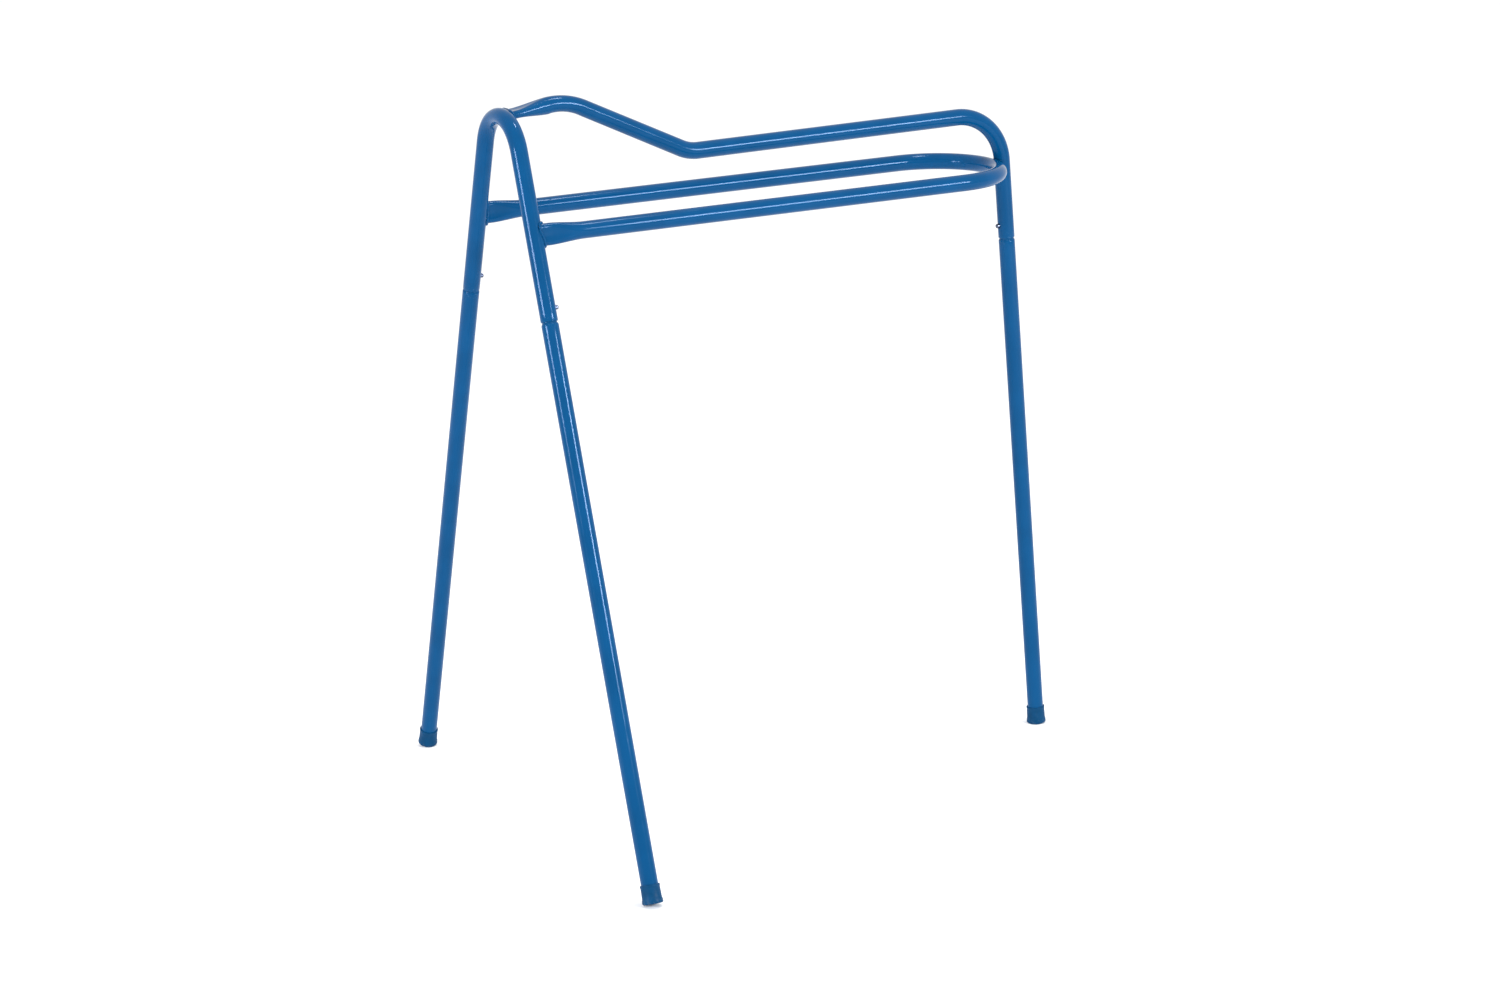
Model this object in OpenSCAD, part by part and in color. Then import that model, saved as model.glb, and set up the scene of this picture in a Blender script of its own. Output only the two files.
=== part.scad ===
// Take-apart saddle stand: a welded head of bent steel tube on three plug-in legs.
// The origin lies on the floor under the middle of the stand, +X points to the rear leg
// and +Z is up. The front arch stands in the plane X = front_x.

/* [Tube] */
// Outside diameter of every tube
tube_d = 22; // [21:0.5:23]
// Wall thickness of every tube
wall = 1.5; // [1.2:0.1:1.6]

/* [Stance] */
// Floor distance from the line of the front feet to the rear foot
wheelbase = 770; // [740:1:800]
// Floor distance between the two front feet
foot_spread = 729; // [722:1:740]
// Outward lean of each front leg, in degrees
front_lean = 19.2; // [19.0:0.1:19.5]
// Backward lean of the rear leg, in degrees
rear_lean = 3.25; // [2.5:0.05:4]
// Height of the two front leg joints
joint_h = 692; // [660:1:700]
// Height of the rear leg's joint
rear_joint_h = 695.5; // [670:0.5:705]

/* [Front arch] */
// Height of the tube's centreline at the crown
crown_h = 932; // [925:1:935]

/* [Top rail] */
// Distance of the pommel hump behind the arch
hump_run = 90; // [89:1:100]
// Height of the corner of the centreline at the hump
hump_h = 942.5; // [938:0.5:945]
// Bend radius over the hump
hump_r = 88; // [70:1:90]
// Distance of the dip behind the arch
dip_run = 259; // [240:1:290]
// Height of the centreline at the dip
dip_h = 861; // [850:1:866]
// Bend radius at the dip
dip_r = 55; // [45:1:70]
// Height of the centreline above the rear post
rear_h = 866; // [861:1:872]
// Bend radius into the rear post
rear_r = 68; // [55:1:75]

/* [Side loop] */
// Height of the loop's centreline
loop_h = 795; // [784:1:804]
// Width of the loop between centrelines
loop_w = 181; // [178:1:190]
// Depth to which the loop's apex is notched around the post
loop_bite = 2; // [1:0.5:4]

/* [Flattened ends] */
// Width of a tube end pressed flat
flat_w = 28.6; // [27:0.2:30]
// Thickness of a tube end pressed flat
flat_t = 10.3; // [9:0.1:12]
// Length pressed fully flat, past the face of the tube it is welded to
flat_len = 10; // [6:1:12]
// Length over which a flat end turns round again
flare_len = 42; // [36:1:42]
// How far a flat end is coped into the tube it is welded to
flat_cope = 7; // [5:0.5:8]
// Leg length of a weld bead
bead = 2.6; // [2:0.1:3.5]

/* [Leg joints] */
// Radial clearance of the reduced end that plugs into the head
fit_gap = 0.05; // [0.02:0.01:0.1]
// Length of the reduced end inside the head
spigot_len = 55; // [50:1:60]
// Bare reduced end left showing between head and leg
neck_gap = 1.2; // [0.5:0.1:2]
// Length of the cone from the leg's full diameter to the reduced end
neck_cone = 2.2; // [1.5:0.1:3]
// Diameter of the snap button
button_d = 6; // [5:0.5:7]
// How far the button stands out of the tube
button_out = 4; // [3:0.2:5]
// Distance of the button above the end of the head's tube
button_up = 17; // [16:0.5:22]
// Thickness of the leaf spring's strip
leaf_t = 0.6; // [0.5:0.1:0.8]
// Width of the leaf spring's strip
leaf_w = 7; // [6:0.5:8]

/* [Foot caps] */
// Outside diameter of a cap at its top
cap_d = 25.2; // [24.6:0.2:27]
// Outside diameter of a cap at its base
cap_base_d = 26.4; // [26:0.2:28]
// Length of a cap
cap_len = 24; // [20:1:30]
// Thickness of a cap under the tube
cap_floor = 3.5; // [3:0.5:5]
// Radius of the cap's lower edge
cap_round = 2; // [1:0.5:3]

/* [Hidden] */
$fn = 64;

LEFT = -1;
RIGHT = 1;
REAR = 0;

powder_blue = [0.06, 0.34, 0.6];
cap_blue = [0.13, 0.31, 0.47];
zinc = [0.54, 0.55, 0.58];
spring_steel = [0.5, 0.51, 0.53];

tube_r = tube_d / 2;
bore_d = tube_d - 2 * wall;
front_x = -wheelbase / 2;
rear_x = wheelbase / 2;
cut = 1;               // how far a cutting shape runs past what it cuts
hull_fn = 32;
hull_slice = 0.01;     // thickness of the end slices of a flared hull
shortest_run = 0.1;    // straight stretches shorter than this are left out
seam = 0.2;            // length of the raised ring left at each end of a bend
seam_grow = 1.02;      // size of that ring against the section it stands on
fine_fn = 192;

// Crown radius that makes the arc tangent to both legs and reach crown_h.
crown_r = (foot_spread / 2 * cos(front_lean) - crown_h * sin(front_lean))
    / (1 - sin(front_lean));
arch_half = foot_spread / 2 - tan(front_lean) * joint_h;
arch_peak = foot_spread / 2 / tan(front_lean);

// Centre of the rear post at a given height.
function post_x(h) = rear_x - tan(rear_lean) * h;
loop_apex = post_x(loop_h) - tube_d + loop_bite;
loop_r = loop_w / 2;

// The flattened end of the top rail starts on the crown and points at the hump.
rail_rise = atan2(hump_h - crown_h, hump_run);

spigot_d = bore_d - 2 * fit_gap;
spigot_bore = spigot_d - 2 * wall;
spigot_edge = 0.8;
button_gap = 0.05;     // radial clearance of the button in the spigot
head_hole_gap = 0.35;  // radial clearance of the button in the head's tube
button_edge = 1.5;
flange_d = 8;
flange_t = 0.8;
flange_x = sqrt(pow(spigot_bore / 2, 2) - pow(flange_d / 2, 2)) - 0.1;
leaf_x = flange_x - flange_t - leaf_t / 2;
leaf_back_x = 0.4 + leaf_t / 2 - spigot_bore / 2 * cos(asin(leaf_w / spigot_bore));
leaf_r = 3;
leaf_over = 8;         // how far the leaves reach past the button
leaf_depth = 92;       // how far below the leaf tips their two lines would meet

// Height of the middle of a cap's base when its lower edge touches the floor.
function foot_h(lean) =
    cap_round * (1 - cos(lean)) + (cap_base_d / 2 - cap_round) * sin(lean);
function lean_of(side) = side == REAR ? rear_lean : front_lean;
function height_of(side) = side == REAR ? rear_joint_h : joint_h;
// Length from a leg's joint down to the middle of its cap's base.
function reach(side) = (height_of(side) - foot_h(lean_of(side))) / cos(lean_of(side));

// Direction, turn and tangent length along a flat path of corners p with radii r.
function heading(p, i) = atan2(p[i + 1][1] - p[i][1], p[i + 1][0] - p[i][0]);
function wrapped(a) = a > 180 ? a - 360 : a < -180 ? a + 360 : a;
function turn(p, i) = wrapped(heading(p, i) - heading(p, i - 1));
function setback(p, r, i) =
    i == 0 || i == len(p) - 1 ? 0 : r[i] * tan(abs(turn(p, i)) / 2);

// Sweeps a flat section along a path in the XY plane; over runs past both ends.
module bent_run(p, r, over = 0) {
    last = len(p) - 1;
    for (i = [0 : last - 1]) {
        start = setback(p, r, i) - (i == 0 ? over : 0);
        stop = setback(p, r, i + 1) - (i == last - 1 ? over : 0);
        run = norm(p[i + 1] - p[i]) - start - stop;
        if (run > shortest_run)
            translate(p[i])
                rotate([90, 0, heading(p, i) + 90])
                    translate([0, 0, start]) {
                        linear_extrude(run) children();
                        if (i > 0) seam_collar() children();
                        if (i < last - 1) translate([0, 0, run]) seam_collar() children();
                    }
    }
    for (i = [1 : last - 1]) {
        side = sign(turn(p, i));
        swing = abs(turn(p, i));
        translate(p[i])
            rotate([0, 0, heading(p, i - 1)])
                translate([-setback(p, r, i), side * r[i], 0])
                    rotate([0, 0, side > 0 ? -90 : 90 - swing])
                        rotate_extrude(angle = swing, $fn = 2 * $fn)
                            translate([r[i], 0]) children();
    }
}

// Low ring across Z = 0, left by the bending die where two stretches of a run meet.
module seam_collar() {
    translate([0, 0, -seam / 2]) linear_extrude(seam) scale(seam_grow) children();
}

// Places children at a leg joint: +Z up the leg's axis, +X to the side of the button.
module at_joint(side) {
    if (side == REAR)
        translate([post_x(rear_joint_h), 0, rear_joint_h])
            rotate([0, -rear_lean, 0]) rotate([0, 0, 180]) children();
    else
        translate([front_x, side * arch_half, joint_h])
            rotate([side * front_lean, 0, 0]) children();
}

// Hole for the snap button, along +X from the axis of a joint.
module button_hole(gap) {
    translate([0, 0, button_up])
        rotate([0, 90, 0]) cylinder(d = button_d + 2 * gap, h = tube_d);
}

module arch_run(d, over = 0) {
    path = [[-arch_half, joint_h], [0, arch_peak], [arch_half, joint_h]];
    translate([front_x, 0, 0])
        rotate([90, 0, 90])
            bent_run(path, [0, crown_r, 0], over) circle(d = d);
}

module front_arch() {
    color(powder_blue)
        difference() {
            arch_run(tube_d);
            arch_run(bore_d, cut);
            for (side = [LEFT, RIGHT]) at_joint(side) button_hole(head_hole_gap);
        }
}

// Section of a tube end pressed flat: a slot shape, wide along X.
module slot_2d(w, t) {
    square([w - t, t], center = true);
    for (s = [-1, 1]) translate([s * (w - t) / 2, 0]) circle(d = t);
}

// A tube end pressed flat, from the welded face at Z = 0 up to the round tube.
module flat_end(w, t, d, cope) {
    translate([0, 0, -cope]) linear_extrude(cope + flat_len) slot_2d(w, t);
    hull() {
        translate([0, 0, flat_len])
            linear_extrude(hull_slice) slot_2d(w, t, $fn = hull_fn);
        translate([0, 0, flat_len + flare_len - hull_slice])
            linear_extrude(hull_slice) circle(d = d, $fn = hull_fn);
    }
    translate([0, 0, flat_len]) seam_collar() slot_2d(w, t);
    translate([0, 0, flat_len + flare_len]) seam_collar() circle(d = d);
}

module hollow_flat_end() {
    difference() {
        flat_end(flat_w, flat_t, tube_d, flat_cope);
        flat_end(flat_w - 2 * wall, flat_t - 2 * wall, bore_d, flat_cope + cut);
    }
}

// Places children at the front of the top rail, +Z towards the hump, +X across.
module at_rail_front() {
    translate([front_x, 0, crown_h])
        rotate([0, 90 - rail_rise, 0]) rotate([0, 0, 90])
            translate([0, 0, tube_r]) children();
}

module rail_run(d, over = 0) {
    start = tube_r + flat_len + flare_len;
    path = [
        [front_x + start * cos(rail_rise), crown_h + start * sin(rail_rise)],
        [front_x + hump_run, hump_h],
        [front_x + dip_run, dip_h],
        [post_x(rear_h), rear_h],
        [post_x(rear_joint_h), rear_joint_h]
    ];
    rotate([90, 0, 0])
        bent_run(path, [0, hump_r, dip_r, rear_r, 0], over) circle(d = d);
}

module top_rail() {
    color(powder_blue)
        difference() {
            union() {
                difference() {
                    rail_run(tube_d);
                    rail_run(bore_d, cut);
                }
                at_rail_front() hollow_flat_end();
            }
            arch_run(tube_d);
            at_joint(REAR) button_hole(head_hole_gap);
        }
}

// Places children at the front of one side of the loop, +Z to the rear, +X up.
module at_loop_front(side) {
    translate([front_x + tube_r, side * loop_r, loop_h])
        rotate([0, 90, 0]) rotate([0, 0, 180]) children();
}

module loop_run(d, over = 0) {
    start = front_x + tube_r + flat_len + flare_len;
    path = [
        [start, -loop_r], [loop_apex, -loop_r],
        [loop_apex, loop_r], [start, loop_r]
    ];
    translate([0, 0, loop_h])
        bent_run(path, [0, loop_r, loop_r, 0], over) circle(d = d);
}

module side_loop() {
    color(powder_blue)
        difference() {
            union() {
                difference() {
                    loop_run(tube_d);
                    loop_run(bore_d, cut);
                }
                for (side = [LEFT, RIGHT])
                    at_loop_front(side) hollow_flat_end();
            }
            arch_run(tube_d);
            rail_run(tube_d);
        }
}

// Bead round a flattened end, between its faces and the tube it stands on.
module end_bead() {
    translate([0, 0, -flat_cope])
        linear_extrude(flat_cope + bead) slot_2d(flat_w + 2 * bead, flat_t + 2 * bead);
}

module weld_crown() {
    color(powder_blue)
        difference() {
            at_rail_front() end_bead();
            at_rail_front() flat_end(flat_w, flat_t, tube_d, tube_d);
            arch_run(tube_d);
        }
}

module loop_weld(side) {
    color(powder_blue)
        difference() {
            at_loop_front(side) end_bead();
            at_loop_front(side) flat_end(flat_w, flat_t, tube_d, tube_d);
            arch_run(tube_d);
        }
}

module weld_rear() {
    color(powder_blue)
        difference() {
            translate([loop_apex + tube_r - loop_bite, 0, loop_h])
                rotate([0, 90, 0])
                    cylinder(r = 4 * bead, h = 3 * bead, center = true);
            loop_run(tube_d, $fn = fine_fn);
            rail_run(tube_d, $fn = fine_fn);
        }
}

module leg(side) {
    foot = cap_floor - reach(side);
    cone_low = -neck_gap - neck_cone;
    color(powder_blue)
        at_joint(side)
            difference() {
                union() {
                    translate([0, 0, foot]) cylinder(d = tube_d, h = cone_low - foot);
                    translate([0, 0, cone_low])
                        cylinder(d1 = tube_d, d2 = spigot_d, h = neck_cone);
                    translate([0, 0, -neck_gap])
                        cylinder(d = spigot_d, h = neck_gap + spigot_len - spigot_edge);
                    translate([0, 0, spigot_len - spigot_edge])
                        cylinder(d1 = spigot_d, d2 = spigot_d - spigot_edge, h = spigot_edge);
                }
                translate([0, 0, foot - cut])
                    cylinder(d = bore_d, h = cone_low - foot + cut - wall);
                translate([0, 0, cone_low - wall])
                    cylinder(d1 = bore_d, d2 = spigot_bore, h = neck_cone);
                translate([0, 0, cone_low - wall + neck_cone])
                    cylinder(d = spigot_bore, h = spigot_len + tube_d);
                button_hole(button_gap);
            }
}

// Half outline of a cap: flat base, rounded lower edge, sides drawn in to the top.
function cap_outline() = concat(
    [[0, 0]],
    [for (a = [0 : 15 : 90])
        [cap_base_d / 2 - cap_round + cap_round * sin(a), cap_round - cap_round * cos(a)]],
    [[cap_d / 2, cap_len], [0, cap_len]]
);

module foot_cap(side) {
    color(cap_blue)
        at_joint(side)
            translate([0, 0, -reach(side)])
                difference() {
                    rotate_extrude() polygon(cap_outline());
                    translate([0, 0, cap_floor]) cylinder(d = tube_d, h = cap_len);
                }
}

module button(side) {
    stem = tube_r + button_out - flange_x;
    color(zinc)
        at_joint(side)
            translate([flange_x, 0, button_up])
                rotate([0, 90, 0]) {
                    translate([0, 0, -flange_t]) cylinder(d = flange_d, h = flange_t);
                    rotate_extrude() {
                        square([button_d / 2, stem - button_edge]);
                        square([button_d / 2 - button_edge, stem]);
                        translate([button_d / 2 - button_edge, stem - button_edge])
                            intersection() {
                                circle(r = button_edge);
                                square(button_edge);
                            }
                    }
                }
}

// V-shaped leaf spring: its front leaf backs the button, its rear leaf the far wall.
module leaf_spring(side) {
    tip = button_up + leaf_over;
    path = [[leaf_x, tip], [leaf_x, tip - leaf_depth], [leaf_back_x, tip]];
    color(spring_steel)
        at_joint(side)
            rotate([90, 0, 0])
                bent_run(path, [0, leaf_r, 0]) square([leaf_t, leaf_w], center = true);
}

front_arch();
top_rail();
side_loop();
weld_crown();
loop_weld(LEFT);  // weld_left
loop_weld(RIGHT);  // weld_right
weld_rear();
leg(LEFT);  // leg_left
leg(RIGHT);  // leg_right
leg(REAR);  // leg_rear
foot_cap(LEFT);  // foot_cap_left
foot_cap(RIGHT);  // foot_cap_right
foot_cap(REAR);  // foot_cap_rear
button(LEFT);  // button_left
button(RIGHT);  // button_right
button(REAR);  // button_rear
leaf_spring(LEFT);  // spring_left
leaf_spring(RIGHT);  // spring_right
leaf_spring(REAR);  // spring_rear
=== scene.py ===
"""Looks of a take-apart saddle stand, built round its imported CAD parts. Lengths are in metres."""
import math
import random

import bmesh
import bpy
from mathutils import Matrix, Vector


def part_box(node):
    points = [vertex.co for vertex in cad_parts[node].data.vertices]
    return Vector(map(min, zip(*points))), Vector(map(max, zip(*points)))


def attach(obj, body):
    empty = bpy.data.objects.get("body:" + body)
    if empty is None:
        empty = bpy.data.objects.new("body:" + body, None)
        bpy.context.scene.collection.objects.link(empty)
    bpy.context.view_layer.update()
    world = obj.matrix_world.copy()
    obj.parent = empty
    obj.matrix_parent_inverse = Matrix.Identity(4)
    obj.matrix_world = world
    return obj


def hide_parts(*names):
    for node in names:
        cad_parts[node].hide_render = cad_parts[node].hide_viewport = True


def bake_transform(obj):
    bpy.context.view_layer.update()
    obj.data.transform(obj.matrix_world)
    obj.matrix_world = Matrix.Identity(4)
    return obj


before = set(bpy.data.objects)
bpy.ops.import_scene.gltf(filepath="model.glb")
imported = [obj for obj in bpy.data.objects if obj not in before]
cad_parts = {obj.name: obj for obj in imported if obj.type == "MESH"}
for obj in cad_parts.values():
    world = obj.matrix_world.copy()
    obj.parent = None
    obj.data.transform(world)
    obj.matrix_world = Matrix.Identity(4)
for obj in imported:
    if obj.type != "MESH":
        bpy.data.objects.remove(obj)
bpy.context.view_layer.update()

MM = 0.001
X, Y, Z = Vector((1, 0, 0)), Vector((0, 1, 0)), Vector((0, 0, 1))
LEFT, RIGHT, REAR = -1, 1, 0
SIDES = {"left": LEFT, "right": RIGHT, "rear": REAR}

# Tube
TUBE_R = 11 * MM
WALL = 1.5 * MM
BORE_R = TUBE_R - WALL
ROUND = 72              # steps round a tube
BEND_STEP = math.radians(2.5)
END_EDGE = 0.35 * MM    # rounding of a cut tube end
END_RINGS = 4           # rings in that rounding

# Meshes
SHARP = 38              # degrees between two faces from which their edge stays sharp
LATHE_STEPS = 96
AXIS_R = 1e-7           # a lathe point nearer to the axis than this lies on it
HOLE_STEPS = 48
HOLE_CUT = 30 * MM      # length of the cut that makes a button's hole

# Stance, from the boxes of the CAD nodes
arch_low, arch_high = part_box("front_arch")
FRONT_X = (arch_low.x + arch_high.x) / 2
FRONT_LEAN = math.radians(19.2)
REAR_LEAN = math.radians(3.25)
JOINT_H = 692 * MM
REAR_JOINT_H = 695.5 * MM
HALF_SPREAD = 364.5 * MM
REAR_X = 385 * MM

# Front arch
CROWN_H = 932 * MM
LEAN_SIN, LEAN_COS = math.sin(FRONT_LEAN), math.cos(FRONT_LEAN)
CROWN_R = (HALF_SPREAD * LEAN_COS - CROWN_H * LEAN_SIN) / (1 - LEAN_SIN)
CROWN_Z = CROWN_H - CROWN_R
ARCH_PEAK = HALF_SPREAD / math.tan(FRONT_LEAN)
ARCH_HALF = HALF_SPREAD - math.tan(FRONT_LEAN) * JOINT_H
CROWN_PRESS = 0.045     # share by which the bend presses the crown flatter
CROWN_BULGE = 0.3       # share of that press by which the crown grows wider

# Top rail
HUMP = Vector((FRONT_X + 90 * MM, 0, 942.5 * MM))
HUMP_R = 88 * MM
HUMP_PRESS = 0.1        # share by which the bend presses the inner side of the hump in
HUMP_REACH = 34 * MM    # distance from the bend's corner at which the press has faded out
DIP = Vector((FRONT_X + 259 * MM, 0, 861 * MM))
DIP_R = 55 * MM
REAR_H = 866 * MM
REAR_R = 68 * MM

# Side loop
LOOP_H = 795 * MM
LOOP_R = 90.5 * MM
LOOP_BITE = 2 * MM      # depth of the notch round the rear post
LOOP_STEP = math.radians(1.5)
LOOP_SPLIT = 1e-6       # keeps the ends of the apex's two quarter bends apart

# Flattened tube ends
FLAT_W = 28.6 * MM
FLAT_T = 10.3 * MM
FLAT_LEN = 10 * MM
FLARE_LEN = 42 * MM
FLARE_STEPS = 16
FLARE_EVEN = 0.45       # share of the flare that widens evenly; the rest eases in and out
FLAT_COPE = 7 * MM
FLAT_SINK = 0.55 * MM   # how far the pressed faces sink in the middle
FACE_STEPS = 8          # rounds of sliding a point onto the arch's curved face

# Weld beads
BEAD_R = 2.0 * MM
BEAD_PITCH = 2.3 * MM
BEAD_RIPPLE = 0.22 * MM
BEAD_JITTER = 0.04 * MM
BEAD_ROUND = 14         # steps round a bead
BEAD_WEAR = 0.25
BEAD_SHARP = 80
BEAD_OUT = 0.9 * MM     # distance of a bead's middle outside the pressed end
BEAD_LIFT = 0.7 * MM    # and off the arch's face
BEAD_FADE = 2.5 * MM    # stretch over which a bead thins out at the arch's sides
BEAD_THIN = 0.55        # share of its radius that is left there
END_BEAD_STEPS = 192
REAR_BEAD_R = 1.7 * MM
REAR_BEAD_WIDE = 1.55   # size of the rear bead's oval against the notch's
REAR_BEAD_STEPS = 96

# Leg joints
SPIGOT_R = 9.45 * MM
SPIGOT_BORE_R = SPIGOT_R - WALL
SPIGOT_LEN = 55 * MM
SPIGOT_EDGE = 0.8 * MM
NECK_GAP = 1.2 * MM
NECK_CONE = 2.2 * MM
# Swaged neck, lower part: (radius past the tube's in mm, height past the cone's foot in mm, wear)
NECK_LOW = ((0, -12, 0.0), (0, -1.2, 0.5), (-0.12, -0.4, 1.0), (-0.45, 0.25, 1.0))
# Upper part: (radius past the spigot's in mm, height past the cone's top in mm, wear)
NECK_HIGH = ((0.3, -0.55, 0.4), (0.04, -0.1, 0.4), (0, 0.4, 0.6))
SPIGOT_FOOT = 6 * MM
SPIGOT_WEAR, SPIGOT_END_WEAR, SPIGOT_RIM_WEAR = 0.8, 1.0, 0.6
LEG_EDGE = 0.5 * MM
LEG_SHARP = 30
HOLE_NEAR, HOLE_FAR = 4.5 * MM, 7 * MM            # rings on each side of a button's hole
BUTTON_R = 3 * MM
BUTTON_OUT = 4 * MM
BUTTON_UP = 17 * MM
BUTTON_EDGE = 1.6 * MM
BUTTON_EDGE_TURN = 78   # degrees of that rounding, before the flatter tip
BUTTON_EDGE_STEPS = 8
BUTTON_TIP_R, BUTTON_TIP_DROP = 0.7 * MM, 0.01 * MM
HEAD_HOLE_GAP = 0.35 * MM
LEG_HOLE_GAP = 0.05 * MM
FLANGE_R = 4 * MM
FLANGE_T = 0.8 * MM
FLANGE_EDGE = 0.15 * MM
FLANGE_GAP = 0.1 * MM
FLANGE_X = math.sqrt(SPIGOT_BORE_R ** 2 - FLANGE_R ** 2) - FLANGE_GAP
RIVET_R, RIVET_OUT = 1.5 * MM, 0.5 * MM           # the rivet through the leaf, and its head's height
RIVET_EDGE_R, RIVET_EDGE = 1.1 * MM, 0.3 * MM
LEAF_T = 0.6 * MM
LEAF_W = 7 * MM
LEAF_X = FLANGE_X - FLANGE_T - LEAF_T / 2
LEAF_GAP = 0.4 * MM
LEAF_BACK_X = LEAF_GAP + LEAF_T / 2 - math.sqrt(SPIGOT_BORE_R ** 2 - (LEAF_W / 2) ** 2)
LEAF_EDGE = 0.15 * MM
LEAF_R = 3 * MM
LEAF_STEP = math.radians(8)
LEAF_OVER = 8 * MM
LEAF_DEPTH = 92 * MM
LEAF_STOPS = (2 * MM, 5 * MM, 11 * MM, 30 * MM, 50 * MM)    # rings along the front leaf, from its tip

# Foot caps
CAP_R = 12.6 * MM
CAP_BASE_R = 13.2 * MM
CAP_LEN = 24 * MM
CAP_FLOOR = 3.5 * MM
CAP_ROUND = 2 * MM
CAP_ROUND_STEPS = 8
CAP_DISH = 0.6 * MM     # depth of the sole's dished middle
CAP_RING_IN, CAP_RING_OUT = 3.2 * MM, 2.6 * MM    # where the dish ends, from the sole's rounded edge
CAP_SKIRT_LOW, CAP_SKIRT_HIGH = 5 * MM, 7 * MM
CAP_DRAFT = 0.05 * MM
CAP_WAIST, CAP_WAIST_DROP = 0.35 * MM, 3.2 * MM   # how far the side draws in, and where, below the lip
CAP_LIP, CAP_LIP_DROP = 0.7 * MM, 1.2 * MM        # the lip's rounding, and its height
CAP_LIP_START = -30     # degrees below level at which the lip begins
LIP_LOW_STEPS, LIP_HIGH_STEPS = 2, 5
CAP_FIT = 0.02 * MM
CAP_SCUFF_H, CAP_SCUFF_R = 5.5 * MM, 0.5 * CAP_R  # scuffed below this height and outside this radius
CAP_SCUFF, CAP_HANDLED = 1.0, 0.15                # wear there and elsewhere
CAP_SHARP = 50


# ---------------------------------------------------------------- places


def post_x(height):
    """Centre of the rear post at a height."""
    return REAR_X - math.tan(REAR_LEAN) * height


def joint_place(side):
    """Frame of a leg joint: +Z up the leg's axis, +X to the side of its button."""
    if side == REAR:
        turn = Matrix.Rotation(-REAR_LEAN, 4, "Y") @ Matrix.Rotation(math.pi, 4, "Z")
        return Matrix.Translation((post_x(REAR_JOINT_H), 0, REAR_JOINT_H)) @ turn
    turn = Matrix.Rotation(side * FRONT_LEAN, 4, "X")
    return Matrix.Translation((FRONT_X, side * ARCH_HALF, JOINT_H)) @ turn


def leg_reach(side):
    """Length from a leg's joint down to the middle of its cap's base."""
    lean = REAR_LEAN if side == REAR else FRONT_LEAN
    base = CAP_ROUND * (1 - math.cos(lean)) + (CAP_BASE_R - CAP_ROUND) * math.sin(lean)
    return ((REAR_JOINT_H if side == REAR else JOINT_H) - base) / math.cos(lean)


def from_arch_line(y, z):
    """Distance of a point from the arch's centreline, in the arch's own plane."""
    crown = Vector((y, z - CROWN_Z))
    if crown.length > 0 and math.atan2(crown.y, abs(crown.x)) > FRONT_LEAN:
        return crown.length - CROWN_R
    return (abs(y) - HALF_SPREAD + math.tan(FRONT_LEAN) * z) * math.cos(FRONT_LEAN)


def onto_arch(point, way):
    """Slides a point along a way until it lies on the rear face of the arch's tube."""
    shallow = (TUBE_R - FLAT_COPE) ** 2
    for _ in range(FACE_STEPS):
        off = from_arch_line(point.y, point.z)
        face = FRONT_X + math.sqrt(max(TUBE_R ** 2 - off ** 2, shallow))
        point = point + way * ((face - point.x) / way.x)
    return point


# ---------------------------------------------------------------- mesh building


def slot_outline(width, thick, count=ROUND, sink=0.0):
    """Points in equal steps round a slot shape, wide along its second axis, or round a circle."""
    flat, bend = width - thick, math.pi * thick / 2
    around = 2 * flat + 2 * bend
    points = []
    for k in range(count):
        s = (around * k / count + flat / 2) % around
        half, s = (1, s) if s < flat + bend else (-1, s - flat - bend)
        if s <= flat:
            v = s - flat / 2
            u = thick / 2 - sink * (1 - (2 * v / flat) ** 2 if flat else 0)
        else:
            a = (s - flat) / (thick / 2)
            u, v = thick / 2 * math.cos(a), flat / 2 + thick / 2 * math.sin(a)
        points.append((half * u, half * v))
    return points


def rounded(corners, radii, step=BEND_STEP):
    """Points and directions along straight runs joined by arcs."""
    heading = (corners[1] - corners[0]).normalized()
    stations = [(corners[0], heading)]
    for before, corner, after, radius in zip(corners, corners[1:], corners[2:], radii):
        entry, leave = (corner - before).normalized(), (after - corner).normalized()
        turn, axis = entry.angle(leave), entry.cross(leave).normalized()
        start = corner - entry * radius * math.tan(turn / 2)
        centre = start + axis.cross(entry) * radius
        steps = max(2, math.ceil(turn / step))
        for k in range(steps + 1):
            swing = Matrix.Rotation(turn * k / steps, 3, axis)
            stations.append((centre + swing @ (start - centre), swing @ entry))
        heading = leave
    stations.append((corners[-1], heading))
    return stations


def ring(point, heading, across, outline):
    """An outline stood across a path at a point."""
    sideways = across.cross(heading)
    return [point + sideways * u + across * v for u, v in outline]


def loft(rings, wrap=True, wear=None):
    """Skin through rings of equal count, joined back to the first ring, with a wear value per ring."""
    bm = bmesh.new()
    layer = bm.verts.layers.float.new("wear")
    made = []
    for i, points in enumerate(rings):
        row = [bm.verts.new(p) for p in points]
        for v in row:
            v[layer] = wear[i] if wear else 0.0
        made.append(row)
    pairs = list(zip(made, made[1:]))
    if wrap:
        pairs.append((made[-1], made[0]))
    for low, high in pairs:
        for k in range(len(low)):
            n = (k + 1) % len(low)
            bm.faces.new((low[k], low[n], high[n], high[k]))
    return bm


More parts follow.
